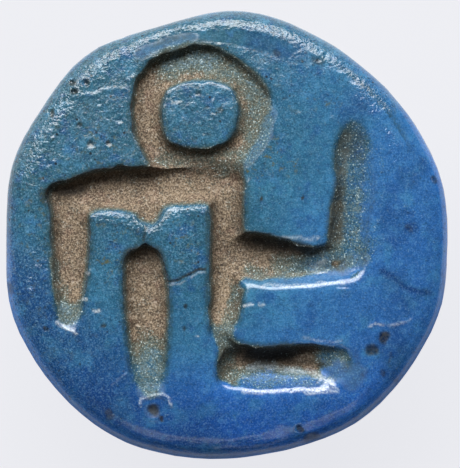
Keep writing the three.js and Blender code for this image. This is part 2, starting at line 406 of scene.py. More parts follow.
x, y, z = points.T
on_top = z > WIDEST
move_x, move_y = np.zeros(len(x)), np.zeros(len(x))
for right, down, radius, spots in NUDGES:
    move_x = brush(move_x, [(right * PIXEL / MM, radius, spots)], x, y, feather=NUDGE_FEATHER)
    move_y = brush(move_y, [(-down * PIXEL / MM, radius, spots)], x, y, feather=NUDGE_FEATHER)
points[:, 0] += move_x * on_top
points[:, 1] += move_y * on_top
print("farthest nudge in mm:", round(float(np.hypot(move_x, move_y).max()), 2))

# %% Fill the shallow ends
# How full, how wide and where.
FILLS = [
    (0.85, 5, [(144, 234), (144, 241)]),
    (0.3, 9, [(300, 257), (326, 257)]),
    (0.25, 8, [(300, 357), (340, 356)]),
    (0.45, 9, [(270, 118), (264, 142), (251, 162)]),
    (0.97, 11, [(346, 387), (350, 379), (356, 370)]),
    (0.5, 9, [(336, 374), (349, 365)]),
]
x, y, z = points.T
fill = brush(np.zeros(len(x)), FILLS, x, y, feather=0.8) * on_top
points[:, 2] += np.clip(dome_height(x, y) - z, 0, None) * fill
move_points(amulet, points)
print("places filled:", len(FILLS))

# %% [markdown]
# ### Measuring the carving
# Every finish below needs to know where the carving is. It could be painted again by hand, but the solid knows it
# already. We look straight down on it with a grid of rays and note how far each lands below the uncarved face. That
# depth map serves the shapes and the colours alike.

# %% Map the depth of the carving
def ray_map(piece):
    """Heights of the piece seen from above, on the grid. Rows run along +Y."""
    tree = BVHTree.FromPolygons(
        [vertex.co for vertex in piece.data.vertices],
        [polygon.vertices for polygon in piece.data.polygons],
    )
    found = np.zeros(grid_x.shape)
    down = Vector((0, 0, -1))
    for row, y in enumerate(places):
        for column, x in enumerate(places):
            hit = tree.ray_cast(Vector((x, y, face_top + 1)), down)[0]
            found[row, column] = hit.z if hit else 0
    return found


heights = ray_map(amulet)
on_face = np.hypot(grid_x, grid_y) < CARVED_REACH
depth_map = np.where(on_face, np.clip(dome_height(grid_x, grid_y) - heights, 0, None), 0)
print("deepest carving in mm:", round(float(depth_map[np.hypot(grid_x, grid_y) < FACE_REACH].max()), 2))

# %% [markdown]
# ### Rounding the lips
# A Smooth modifier moves every vertex towards the middle of its neighbours. Each pass rounds the lips a little more
# and leaves the broad face as it was.

# %% Round the lips
ROUNDING_PASSES = 18
apply_modifier(amulet, "SMOOTH", "round_lips", factor=0.5, iterations=ROUNDING_PASSES)
print("rounded with", ROUNDING_PASSES, "passes")

# %% [markdown]
# No hand cuts a clean line, so the lips shake a little. Some are far softer than the rest, too: those that the glaze
# ran over, at the feet of the legs, along the lower side of the arm and the short stroke, and down the right of the
# ring. A vertex group tells a second Smooth modifier where they are.

# %% Shake the lips
RIM_START, RIM_END = 7.8, 8.5
points = points_of(amulet)
x, y, z = points.T
hold = ramp(np.hypot(x, y), RIM_END, RIM_START) * (z > WIDEST)
shaken_x, shaken_y = shaky(x, y)
points[:, 0] += (shaken_x - x) * hold
points[:, 1] += (shaken_y - y) * hold
move_points(amulet, points)
print("vertices that shake:", int((hold > 0).sum()))

# %% Soften the lips that the glaze ran over
FRONT_LEVEL = 5.5
SOFT_LIPS = [
    (1.0, 11, [(338, 390), (350, 378), (355, 362), (345, 352)]),
    (1.0, 15, [(266, 90), (270, 120), (262, 148), (248, 166)]),
    (0.8, 10, [(225, 50), (240, 60), (258, 78)]),
    (0.9, 12, [(62, 318), (78, 318)]),
    (0.9, 12, [(142, 380), (162, 380)]),
    (1.0, 9, [(372, 150), (372, 190), (370, 225), (366, 255)]),
    (1.0, 10, [(345, 140), (360, 128), (368, 145)]),
    (0.8, 7, [(336, 160), (337, 190), (330, 215)]),
    (0.9, 10, [(90, 216), (110, 213), (130, 214), (147, 224)]),
    (0.9, 10, [(168, 214), (180, 208), (204, 208)]),
    (0.9, 12, [(162, 220), (156, 232)]),
    (0.8, 8, [(225, 338), (228, 346)]),
    (0.9, 9, [(345, 350), (352, 360)]),
    (0.5, 6, [(190, 163), (225, 160)]),
    (0.7, 7, [(209, 204), (209, 300)]),
    (1.0, 9, [(200, 166), (240, 167)]),
]
points = points_of(amulet)
softness = brush(np.zeros(len(points)), SOFT_LIPS, points[:, 0], points[:, 1])
weigh(amulet, "soft_lips", np.where(points[:, 2] > FRONT_LEVEL, softness, 0))
apply_modifier(amulet, "SMOOTH", "soften", factor=0.5, iterations=50, vertex_group="soft_lips")
print("softened vertices:", int((softness > 0.5).sum()))

# %% [markdown]
# ### The uneven rim
# The mould and the fingers left the rim uneven. At the top it turns down later and more sharply than elsewhere, so
# its shoulder is pushed out there. All round, the outline goes in and out by a pixel or two. A modifier can't follow
# such a list, so the vertices are moved by their angle.

# %% Push out the upper shoulder
SHOULDER_START, SHOULDER_END, SHOULDER_PUSH = 7.9, 9.1, 0.12
SHOULDER_MIDDLE, SHOULDER_FULL, SHOULDER_GONE = 5, 34, 66
points = points_of(amulet)
x, y, z = points.T
reach = np.hypot(x, y)
off_middle = np.abs(np.degrees(np.arctan2(x, y)) - SHOULDER_MIDDLE)
share = np.clip((reach - SHOULDER_START) / (SHOULDER_END - SHOULDER_START), 0, 1)
near_top = ramp(off_middle, SHOULDER_GONE, SHOULDER_FULL)
push = SHOULDER_PUSH * np.sin(np.pi * share) ** 2 * near_top * (z > WIDEST)
points[:, 0] += x / np.maximum(reach, 1) * push
points[:, 1] += y / np.maximum(reach, 1) * push
move_points(amulet, points)
print("shoulder vertices pushed:", int((push > 0).sum()))

# %% Press the outline uneven
# The angle from the top, clockwise, and how many pixels outwards.
OUTLINE_FROM, OUTLINE_FULL = 7.9, 8.8
OUTLINE = [
    (0, 0), (15, -0.5), (24, -1.5), (38, -2), (48, 0), (56, 1.2), (66, 0.8), (78, 1.8), (96, 1), (108, 2.8),
    (120, 1.6), (144, 2.2), (160, 1.4), (172, 0.8), (190, 0.8), (204, 1.8), (222, 1.3), (240, 0), (254, 0.8),
    (264, 0.3), (290, 0), (306, -0.6), (318, 1), (326, 0), (332, -2.2), (342, -2), (352, -0.8), (360, 0),
]
points = points_of(amulet)
x, y, z = points.T
reach = np.hypot(x, y)
turned = np.degrees(np.arctan2(x, y)) % 360
push = np.interp(turned, *zip(*OUTLINE)) * PIXEL / MM * ramp(reach, OUTLINE_FROM, OUTLINE_FULL)
points[:, 0] += x / np.maximum(reach, 1) * push
points[:, 1] += y / np.maximum(reach, 1) * push
move_points(amulet, points)
print("outline from", round(float(push.min()), 2), "to", round(float(push.max()), 2), "mm outwards")

# %% [markdown]
# The softest lips of all are those that shine along the short stroke, the arm and the ring. They are rounded last.

# %% Round the shining lips
GLOSSY_LIPS = [
    (1.0, 14, [(268, 120), (262, 146), (246, 163)]),
    (1.0, 10, [(250, 285), (285, 288), (320, 284), (352, 280), (368, 263)]),
    (1.0, 10, [(220, 382), (232, 388), (250, 391), (290, 390), (335, 387)]),
    (1.0, 13, [(312, 388), (334, 388)]),
    (1.0, 10, [(202, 167), (238, 168)]),
    (1.0, 13, [(376, 140), (377, 170), (377, 205), (374, 250)]),
    (0.8, 9, [(352, 112), (360, 116)]),
]
glossy_lips = brush(np.zeros(len(points)), GLOSSY_LIPS, points[:, 0], points[:, 1], feather=0.5)
weigh(amulet, "glossy_lips", np.where(points[:, 2] > FRONT_LEVEL, glossy_lips, 0))
apply_modifier(amulet, "SMOOTH", "soften_more", factor=0.5, iterations=190, vertex_group="glossy_lips")
print("shining lips:", int((glossy_lips > 0.5).sum()), "vertices")

# %% [markdown]
# ### Fewer faces behind
# The back isn't seen in the photograph and carries no carving, so it needs fewer faces than the front. Decimate with
# a vertex group takes them away there and keeps the front whole.

# %% Thin out the back
MOST_TRIANGLES = 192000
BACK_FROM, BACK_FULL = WIDEST + 0.7, WIDEST - 0.3
points = points_of(amulet)
weigh(amulet, "back", ramp(points[:, 2], BACK_FROM, BACK_FULL))
apply_modifier(
    amulet,
    "DECIMATE",
    "thin_back",
    ratio=MOST_TRIANGLES / (2 * len(amulet.data.polygons)),
    vertex_group="back",
    vertex_group_factor=10,
)
print("thinned:", len(amulet.data.vertices), "vertices")

# %% [markdown]
# ### Uneven glaze
# Hand-made glaze is never flat. It lies in slow waves, and where it is worn, at the upper left and along the rim,
# it is lumpy on a scale of a few tenths of a millimetre. Cloud textures push the skin in far more than out, so that
# the amulet stays inside its true size.

# %% Say where the glaze is worn
TOP_RIM = [(30, 150), (55, 105), (90, 66), (138, 34), (200, 22), (265, 27), (305, 39), (350, 72), (388, 108)]
WORN_STROKES = [
    (0.8, 8, TOP_RIM),
    (0.7, 15, [(103, 238), (108, 262)]),
    (0.8, 15, [(183, 232), (188, 258)]),
    (0.5, 16, [(88, 285), (104, 310)]),
    (0.12, 8, [(152, 46), (175, 39), (200, 37), (232, 39), (262, 46), (285, 54)]),
    (0.9, 12, [(98, 215), (135, 217), (150, 225)]),
    (0.7, 12, [(172, 211), (203, 210)]),
    (0.8, 14, [(70, 85), (60, 110)]),
    (0.08, 16, [(245, 300), (330, 300)]),
    (0.05, 8, [(250, 285), (300, 287), (350, 279)]),
    (0.05, 6, [(225, 384), (245, 391), (330, 388)]),
]
LEAST_WORN, MORE_WORN = 0.12, 0.7


def how_worn(x, y):
    """More at the upper left than at the lower right, and by the listed strokes where it goes against that."""
    upper_left = (0.8 * y - x) / 9
    return brush(LEAST_WORN + MORE_WORN * ramp(upper_left, -0.55, 0.75), WORN_STROKES, x, y)


points = points_of(amulet)
x, y, z = points.T
worn = how_worn(x, y)
depth = np.where((z > WIDEST) & (np.hypot(x, y) < CARVED_REACH), read_map(depth_map, x, y), 0)
bare = ramp(depth, 0.12, 0.35)
weigh(amulet, "worn", worn * (1 - bare))
weigh(amulet, "bare", bare)
print("worn share:", round(float(worn.mean()), 2))

# %% Wave the glaze
WAVE_MIDDLE = 0.8


def push_in(name, size, strength, group=""):
    """Cloud lumps of this size in millimetres. Tones under the middle push in, and those over it push out."""
    texture = bpy.data.textures.new(name, "CLOUDS")
    texture.noise_scale = size
    texture.noise_depth = 2
    apply_modifier(
        amulet,
        "DISPLACE",
        name,
        texture=texture,
        texture_coords="LOCAL",
        strength=strength,
        mid_level=WAVE_MIDDLE,
        vertex_group=group,
    )


push_in("slow_waves", 2.2, 0.05)
push_in("small_waves", 0.8, 0.02)
push_in("worn_lumps", 0.3, 0.02, "worn")
push_in("sandy_floor", 0.14, 0.05, "bare")
print("cloud textures:", [texture.name for texture in bpy.data.textures])

# %% [markdown]
# Single grains of quartz stand up through the worn glaze and glint. Only the highest spots of a fine map are used.

# %% Raise single grains
LUMP_SIZE, LUMP_HEIGHT = 0.075, 0.035
points = points_of(amulet)
x, y, z = points.T
lumps = ramp(read_map(rough_map(LUMP_SIZE), x, y), 1.5, 2.8) * worn * (1 - bare)
points[:, 2] += np.where(z > WIDEST, lumps * LUMP_HEIGHT, 0)
move_points(amulet, points)
print("vertices on a grain:", int((lumps > 0.1).sum()))

# %% [markdown]
# ### Pits, ridges and the crack
# Gas left pits in the glaze, most with a raised edge that catches the light, and one bubble burst at the foot of
# the middle leg. A crack crosses the block between the middle leg and the stem. Bump in the material would show them
# too, but not from the side and not in the exported mesh, so they are true dents.

# %% Dent the pits
# x, y, radius and depth in the photograph's pixels.
PITS = [
    (74, 84.5, 3.2, 3),
    (87.5, 85.5, 3.5, 3),
    (76.5, 94.5, 3.5, 2.5),
    (54, 115, 4.5, 1.6),
    (121.5, 122, 3.5, 1.4),
    (93, 145, 4.5, 1.2),
    (111, 144.5, 3.2, 1.2),
    (82, 127, 2.5, 0.6),
    (101.5, 106, 2.5, 0.8),
    (50, 141, 3, 0.6),
    (51, 165, 3, 0.8),
    (168, 36, 3, 0.8),
    (325, 58, 3.5, 0.8),
    (318, 62, 3, 0.7),
    (198, 96, 3, 0.5),
    (221, 111.5, 2.8, 0.6),
    (204, 135, 2.2, 0.6),
    (261, 198, 2, 0.7),
    (301, 198, 2, 0.7),
    (431, 180, 3, 0.8),
    (370, 348, 6.5, 1.0),
    (382, 335.5, 6, 1.0),
    (298, 425, 4, 1.0),
    (311, 435, 5, 0.6),
    (154.5, 408, 6.5, 2.2),
    (162, 416, 2.5, 0.8),
    (186, 305, 2.5, 0.7),
    (185, 326, 2.2, 0.6),
    (105, 324, 3, 0.6),
    (48, 328, 3, 0.6),
    (33, 286, 3, 0.8),
    (126, 370, 2.2, 0.8),
    (290, 388.5, 1.8, 0.8),
]
points = points_of(amulet)
x, y, z = points.T
on_top = z > WIDEST
for pixel_x, pixel_y, radius, deep in PITS:
    away = away_from_line(x, y, [(pixel_x, pixel_y)]) / (radius * PIXEL / MM)
    raised_edge = 0.3 * np.exp(-6 * (away - 1.25) ** 2)
    bowl = raised_edge - np.exp(-1.8 * away**2)
    points[:, 2] += np.where(on_top, bowl * deep * PIXEL / MM, 0)
print("pits:", len(PITS))

# %% Raise the ridges and cut the fine grooves
# height (below zero for a groove) and half width in pixels, and the places that the line runs through.
RIDGES = [
    (0.6, 2.2, [(58, 101), (69, 97), (83, 98), (98, 97), (108, 92), (126, 91.5)]),
    (0.4, 2.5, [(85, 73), (90, 71), (96, 73)]),
    (0.4, 2.5, [(113, 56), (119, 53), (124, 56)]),
    (0.7, 2.4, [(246, 367), (265, 366), (286, 367.5), (305, 370), (317, 374), (327, 379), (333, 385)]),
    (1.2, 2.2, [(142, 402), (145, 396), (154, 392.5), (164, 392.5), (169, 396), (172, 402)]),
    (0.5, 1.6, [(367, 325), (374, 321), (382, 322), (392, 324)]),
    (0.4, 1.6, [(393, 323), (402, 321), (408, 318)]),
    (0.8, 2.0, [(250, 305), (262, 303)]),
    (0.7, 2.0, [(336, 289), (347, 289)]),
    (0.35, 1.8, [(114, 383), (121, 377), (128, 371)]),
    (0.8, 2.0, [(84, 272), (92, 271)]),
    (0.8, 2.0, [(98, 301), (104, 299)]),
    (0.8, 2.0, [(60, 322), (70, 328), (79, 332)]),
    (-0.8, 1.5, [(168, 281), (177, 280), (184, 276), (191, 274), (199, 270), (206, 270)]),
    (-1.0, 1.6, [(146, 228), (146, 240)]),
    (-0.3, 2.5, [(380, 272), (392, 279), (405, 289), (426, 292)]),
]
for height, half_width, spots in RIDGES:
    away = away_from_line(x, y, spots) / (half_width * PIXEL / MM)
    points[:, 2] += np.where(on_top, height * PIXEL / MM * np.exp(-(away**2)), 0)
print("ridges and grooves:", len(RIDGES))

# %% [markdown]
# ### The foot
# The smoothing above lifted the foot a little, so it is pressed back on to the table, and whatever now stands
# outside the CAD box is pressed back in.

# %% Settle the foot and keep to the box
FOOT_LEVEL = 0.5
foot_gap = points[:, 2].min()
points[:, 2] -= foot_gap * ramp(points[:, 2], FOOT_LEVEL, foot_gap)
box_low = np.array(low_corner) / MM
box_high = np.array(high_corner) / MM
points = np.clip(points, box_low, box_high)
move_points(amulet, points)
print("foot was", round(float(foot_gap), 3), "mm above the table")

# %% [markdown]
# ## Where the glaze lies
# One number per vertex says how thick the glaze is: 1 on the face, 0 where the floor of the carving is bare.
# The material turns it into a colour, from tan paste through olive and grey-green to full blue. An image texture could
# hold it too, but would need an unwrapped surface. An attribute sits on the vertices themselves.

# %% Paint the glaze thickness
THIN_GLAZE = [
    (0.50, 17, [(172, 62), (188, 58), (205, 58), (225, 66)]),
    (0.44, 14, [(235, 68), (252, 85), (258, 108), (256, 135)]),
    (0.46, 5, [(56, 262), (57, 280), (60, 300)]),
    (0.34, 11, [(245, 158), (225, 165)]),
    (0.28, 9, [(165, 158), (190, 160), (215, 160)]),
    (0.30, 8, [(60, 285), (64, 296)]),
    (0.52, 12, [(62, 312), (76, 314)]),
    (0.44, 16, [(150, 350), (150, 358)]),
    (0.64, 18, [(151, 370), (152, 388)]),
    (0.36, 7, [(238, 290), (232, 310), (226, 325)]),
    (0.45, 9, [(223, 332), (230, 345)]),
    (0.30, 6, [(246, 272), (262, 272)]),
    (0.48, 12, [(282, 266), (302, 264)]),
    (0.68, 14, [(318, 262), (345, 262)]),
    (0.70, 17, [(352, 245), (354, 205)]),
    (0.72, 17, [(356, 190), (356, 160)]),
    (0.76, 16, [(356, 143), (358, 128)]),
    (0.86, 7, [(366, 240), (368, 200), (368, 160)]),
    (0.48, 6, [(332, 240), (334, 208)]),
    (0.62, 7, [(336, 195), (339, 160), (345, 136)]),
    (0.68, 11, [(325, 356), (350, 358)]),
    (0.9, 8, [(326, 371), (346, 368)]),
    (0.66, 7, [(346, 262), (361, 255)]),
    (0.36, 9, [(226, 356), (228, 372), (240, 374)]),
]
GLAZED_WALLS = [
    (1.0, 5.5, [(245, 283), (262, 284), (290, 283), (320, 278), (345, 274), (362, 264)]),
    (0.79, 9.0, [(246, 381), (265, 379), (290, 379), (316, 383), (330, 386)]),
    (1.0, 6.0, [(219, 383), (232, 389), (250, 392), (300, 390), (336, 389)]),
    (1.0, 9.0, [(344, 386), (350, 378), (357, 369)]),
    (0.62, 3.0, [(246, 367), (265, 366), (286, 367.5), (303, 369.5)]),
    (0.10, 3.2, [(335, 263), (340, 264.5)]),
    (0.92, 8.0, [(374, 150), (375, 200), (372, 245)]),
    (0.78, 7.0, [(368, 245), (360, 260)]),
    (0.72, 5.0, [(343, 266), (358, 262)]),
    (0.62, 8.0, [(150, 384), (155, 388)]),
    (0.72, 6.0, [(268, 122), (262, 143), (249, 163)]),
]
points = points_of(amulet)
x, y, z = points.T
DEEP_ENOUGH, SPREAD = 0.35, 0.18
soft_map = blurred(np.minimum(depth_map, DEEP_ENOUGH), SPREAD)
soft_depth = np.where(z > WIDEST, read_map(soft_map, x, y), 0)
brush_x, brush_y = shaky(x, y)
glaze = 1 - ramp(soft_depth, 0.035, 0.28)
in_carving = ramp(soft_depth, 0.02, 0.10)
painted = brush(glaze, THIN_GLAZE, brush_x, brush_y, feather=0.6)
glaze = glaze + (painted - glaze) * in_carving
glaze = brush(glaze, GLAZED_WALLS, brush_x, brush_y, feather=0.55)
write_attribute(amulet, "glaze", glaze)
print("bare share of the vertices:", round(float((glaze < 0.2).mean()), 3))

# %% [markdown]
# ## Painted shade and dirt
# The carving is darkened under the upper lips and along the foot of every wall: painted shadow and shade from the
# lamp beyond the top of the picture, with some dirt in the corners. Both are read from the depth map. A place lies in
# a lip's shadow if a lip stands close above it.

# %% Find the places in the shadow of the lips
SHELTER_STEPS = 15


def lip_shadow(rise):
    """How far each place lies below the line that falls from the lips above it at this rise over run."""
    cover = np.zeros_like(heights)
    for step in range(1, SHELTER_STEPS + 1):
        lip = np.roll(heights, -step, axis=0) - step * MAP_STEP * rise
        cover = np.maximum(cover, lip - heights)
    return cover


# Painted shadow of the upper lips: dark close under them, fainter farther out.
close_under = 0.85 * ramp(blurred(lip_shadow(1.5), 0.06), 0.0, 0.30)
wide_under = ramp(blurred(lip_shadow(0.75), 0.12), 0.0, 0.35)
# Painted shade at the feet of the walls and on walls that face away from the lamp.
by_walls = ramp(depth_map - blurred(depth_map, 0.22), 0.06, 0.30)
slope_y, slope_x = np.gradient(blurred(depth_map, 0.10), MAP_STEP)
steepness = np.hypot(slope_x, slope_y)
facing_light = slope_y / np.maximum(steepness, 0.01)
in_shade = ramp(facing_light, 0.8, 0.2)
on_walls = ramp(steepness, 0.25, 1.3) * in_shade
by_walls *= 0.3 + 0.7 * blurred(in_shade, 0.1)
under_lips = np.maximum(close_under, 0.55 * wide_under)
shade_and_dirt_map = np.maximum(under_lips, np.maximum(0.35 * by_walls, 0.3 * on_walls))
shade_and_dirt = read_map(shade_and_dirt_map, x, y) * ramp(soft_depth, 0.02, 0.12)
print("sheltered share of the map:", round(float((shade_and_dirt_map > 0.3).mean()), 3))

# %% Correct the painted shade and dirt
# These strokes deepen or lighten the painted shade and dirt; a strength of 0 clears it where a lip catches the light.
SHADE_AND_DIRT_STROKES = [
    (0.85, 4.5, [(58, 190), (70, 192), (84, 190)]),
    (0.62, 7, [(335, 235), (335, 215), (340, 190), (345, 160), (346, 140)]),
    (0.45, 10, [(350, 225), (352, 190), (353, 140)]),
    (0.45, 9, [(326, 356), (350, 358)]),
    (0.0, 7, [(250, 282), (285, 285), (320, 281), (352, 276), (366, 260)]),
    (0.0, 9, [(220, 384), (250, 383), (300, 384), (335, 386)]),
    (0.0, 9, [(344, 386), (350, 378), (357, 369)]),
    (0.6, 6, [(300, 358), (325, 359)]),
    (0.15, 9, [(326, 353), (347, 356)]),
    (0.15, 7, [(322, 263), (345, 258)]),
    (0.1, 9, [(352, 170), (353, 200), (352, 240)]),
    (0.15, 5, [(246, 258), (300, 262)]),
    (0.0, 5, [(145, 68), (137, 88), (136, 122)]),
    (0.1, 4, [(211, 206), (211, 250), (211, 300)]),
    (0.1, 4, [(86, 216), (85, 250), (82, 285)]),
    (0.1, 5, [(325, 370), (348, 367)]),
    (0.6, 9, [(132, 257), (157, 257)]),
    (0.3, 8, [(132, 270), (160, 270)]),
    (0.15, 4, [(210, 205), (210, 300)]),
    (1.0, 7, [(250, 353), (268, 355), (285, 353)]),
    (0.9, 5, [(255, 240), (285, 245), (305, 249)]),
    (0.3, 8, [(200, 168), (238, 170)]),
]
shade_and_dirt = brush(shade_and_dirt, SHADE_AND_DIRT_STROKES, brush_x, brush_y, feather=0.6)
print("dirty share of the vertices:", round(float((shade_and_dirt > 0.3).mean()), 3))

# %% [markdown]
# Above the carving the lips are painted dark, apart from those that catch the light: the glaze is rubbed thin there,
# and the lips that face away from the lamp get painted shade as well.

# %% Darken the lips: wear and painted shade
beside_carving = ramp(soft_depth, 0.006, 0.05) * ramp(soft_depth, 0.24, 0.11)
# Lips that face away from the lamp get painted shade; those that face it get none.
lip_wear_and_shade = beside_carving * ramp(read_map(facing_light, x, y), 0.75, 0.1)
NO_LIP_STROKES = [
    (0.0, 7, [(300, 342), (345, 345)]),
    (0.3, 6, [(240, 231), (290, 239), (325, 243)]),
    (0.0, 13, [(345, 112), (362, 112), (378, 140), (378, 200), (376, 262)]),
    (0.0, 12, [(274, 110), (272, 146), (252, 170)]),
    (0.0, 10, [(350, 384), (358, 372)]),
]
lip_wear_and_shade = brush(lip_wear_and_shade, NO_LIP_STROKES, x, y, feather=0.6)
write_attribute(amulet, "lip_wear_and_shade", lip_wear_and_shade)
write_attribute(amulet, "shade_and_dirt", shade_and_dirt)
print("rubbed share of the vertices:", round(float((lip_wear_and_shade > 0.3).mean()), 3))

# %% [markdown]
# ## Stains and colours
# Four things follow no rule, so they are painted like the lips: olive patches where copper is short, brown stains in
# the pits, navy pools where the glaze gathered, and pale paste, partly painted light on floors open to the lamp.

# %% Choose the strokes for the olive patches and the stains
OLIVE_STROKES = [
    (0.9, 8, [(268, 160), (274, 165)]),
    (0.9, 12, [(248, 174), (262, 160), (285, 164)]),
    (0.5, 6, [(277, 106), (300, 105), (336, 107)]),
    (0.5, 7, [(262, 130), (275, 140)]),
    (0.4, 20, [(95, 140), (110, 150)]),
    (0.75, 14, [(95, 228), (125, 238), (108, 262)]),
    (0.4, 12, [(180, 225), (190, 250)]),
    (0.3, 14, [(40, 190), (38, 240)]),
    (0.5, 5, [(48, 195), (52, 225), (51, 262)]),
    (0.5, 5, [(243, 200), (243, 225)]),
    (0.5, 4, [(60, 182), (100, 169), (146, 163)]),
]
STAIN_STROKES = [
    (0.4, 6, [(337, 264), (341, 266)]),
    (0.7, 3.5, [(74, 84.5), (74.2, 85)]),
    (0.7, 3.5, [(87.5, 85.5), (87.6, 86)]),
    (0.7, 3, [(76, 94), (77, 94)]),
    (0.7, 3, [(54, 115), (54, 116)]),
    (0.6, 3, [(93, 145), (94, 145)]),
    (0.7, 2.5, [(111, 144), (111, 145)]),
    (0.6, 2.5, [(82, 127), (83, 127)]),
    (0.8, 5.5, [(370, 347), (370, 349)]),
    (0.8, 5.0, [(382, 335), (382, 337)]),
    (0.8, 3.5, [(298, 425), (299, 426)]),
    (0.5, 5.0, [(308, 435), (315, 434)]),
    (0.8, 5.0, [(154, 407), (155, 409)]),
    (0.8, 2.0, [(162, 415), (162, 416)]),
    (0.8, 2.0, [(186, 305), (186, 306)]),
    (0.7, 1.8, [(184.6, 326), (185, 327)]),
    (0.8, 1.8, [(261, 198), (261, 199)]),
    (0.8, 1.8, [(301, 198), (301, 199)]),
    (0.7, 2.5, [(105, 324), (107, 324)]),
    (0.6, 2.5, [(48, 328), (49, 329)]),
    (0.5, 2.5, [(198, 96), (200, 96)]),
    (0.6, 2.5, [(221, 111), (222, 113)]),
    (0.5, 3, [(274, 54), (277, 56)]),
    (0.5, 4, [(315, 62), (320, 63)]),
    (0.6, 2.5, [(431, 178), (432, 183)]),
    (0.5, 5, [(46, 193), (48, 200)]),
    (0.8, 1.3, [(168, 280), (177, 279), (184, 275), (191, 273), (199, 269), (206, 269)]),
    (0.6, 1.4, [(146, 228), (146, 240)]),
    (0.5, 4, [(111, 411), (112, 414)]),
    (0.5, 3, [(379, 370), (380, 371)]),
    (0.4, 1.2, [(388, 351), (387, 362)]),
    (0.4, 2.5, [(394, 378), (396, 380)]),
    (0.35, 3, [(404, 227), (407, 229)]),
    (0.5, 3, [(12, 284), (13, 290)]),
]
print("olive and stains:", len(OLIVE_STROKES) + len(STAIN_STROKES), "strokes")

# %% Choose the strokes for the deep blue and the pale paste, partly painted light
DEEP_BLUE_STROKES = [
    (0.4, 13, [(392, 284), (402, 300)]),
    (0.3, 14, [(385, 200), (390, 235)]),
    (0.8, 3, [(380, 272), (392, 279), (405, 289), (426, 292)]),
    (0.45, 9, [(392, 326), (399, 344)]),
    (0.28, 7, [(250, 378), (285, 379), (318, 381)]),
    (0.6, 5, [(404, 228), (410, 226)]),
    (0.5, 6, [(423, 163), (425, 168)]),
    (0.4, 8, [(402, 177), (408, 180)]),
    (0.5, 12, [(388, 345), (392, 370)]),
    (0.35, 24, [(200, 425), (240, 425), (320, 410)]),
    (0.5, 14, [(98, 392), (122, 408)]),
    (0.45, 13, [(350, 120), (358, 106)]),
    (0.35, 12, [(255, 43), (295, 56)]),
]
# Painted light along the middle of the bar, the middle leg and the stem; the short stroke at the arm's end is an
# orange spot.
PALE_AND_LIT_PASTE_STROKES = [
    (0.3, 8, [(150, 196), (208, 191), (222, 202)]),
    (0.2, 7, [(147, 290), (149, 330)]),
    (0.6, 7, [(226, 280), (222, 330)]),
    (0.8, 4, [(338, 264), (340, 266)]),
]
print("deep blue and clean paste:", len(DEEP_BLUE_STROKES) + len(PALE_AND_LIT_PASTE_STROKES), "strokes")

# %% [markdown]
# Scratches are white, because the glaze is crushed there. Most of the white strokes, though, are painted highlights:
# lines along the lips that catch the lamp, the arcs of the pool and the bubble, and single glints.

# %% Choose the strokes for the scratches and the painted highlights
# Painted highlights: the lip lines, arcs and short glints. Scratches: the crack's edges and the curved marks at the
# right.
SCRATCH_AND_HIGHLIGHT_STROKES = [
    (0.06, 6, [(250, 279), (300, 278), (345, 270)]),
    (0.05, 6, [(250, 377), (300, 378), (320, 382)]),
    (0.35, 2.2, [(243, 388.5), (262, 389), (300, 387)]),
    (0.35, 1.8, [(262, 285.5), (300, 284.5), (340, 281.5)]),
    (0.45, 1.1, [(141, 402), (145, 395), (154, 392), (164, 392), (170, 396), (173, 402)]),
    (0.4, 2.2, [(246, 367), (265, 366), (286, 367.5), (305, 370)]),
    (0.4, 2.2, [(305, 370), (317, 374), (327, 379), (333, 385)]),
    (0.5, 3, [(305, 388), (333, 388)]),
    (0.25, 0.9, [(170, 284), (179, 282), (185, 279)]),
    (0.25, 0.9, [(192, 276), (200, 272), (206, 272)]),
    (0.4, 1.0, [(367, 325), (374, 321), (382, 322)]),
    (0.25, 1.0, [(386, 323), (402, 321), (408, 318)]),
    (0.08, 1.0, [(114, 383), (121, 377), (128, 371)]),
    (0.7, 1.6, [(246, 305), (252, 304)]),
    (0.5, 1.6, [(259, 303), (264, 303)]),
    (0.22, 1.1, [(302, 336), (318, 338.5), (340, 339)]),
    (0.35, 1.4, [(283, 236), (295, 239), (308, 240), (316, 237)]),
    (0.4, 1.5, [(60, 321), (70, 327), (79, 332)]),
    (0.12, 1.5, [(215, 444), (250, 444), (271, 441), (286, 436)]),
    (0.8, 1.4, [(84, 298), (88, 299)]),
    (0.7, 1.4, [(97, 310), (101, 310)]),
    (0.6, 1.4, [(89, 272), (92, 272)]),
    (0.8, 1.2, [(174, 104), (181, 104)]),
    (0.5, 1.0, [(196, 335), (198, 335)]),
    (0.2, 3.0, [(312, 267), (318, 264), (322, 262)]),
]
print("scratches:", len(SCRATCH_AND_HIGHLIGHT_STROKES), "strokes")

# %% [markdown]
# The shine is painted as well. Glaze that ran thin has gone matte, the upper rim is glossy throughout, and where it is
# finely wrinkled it sparkles.

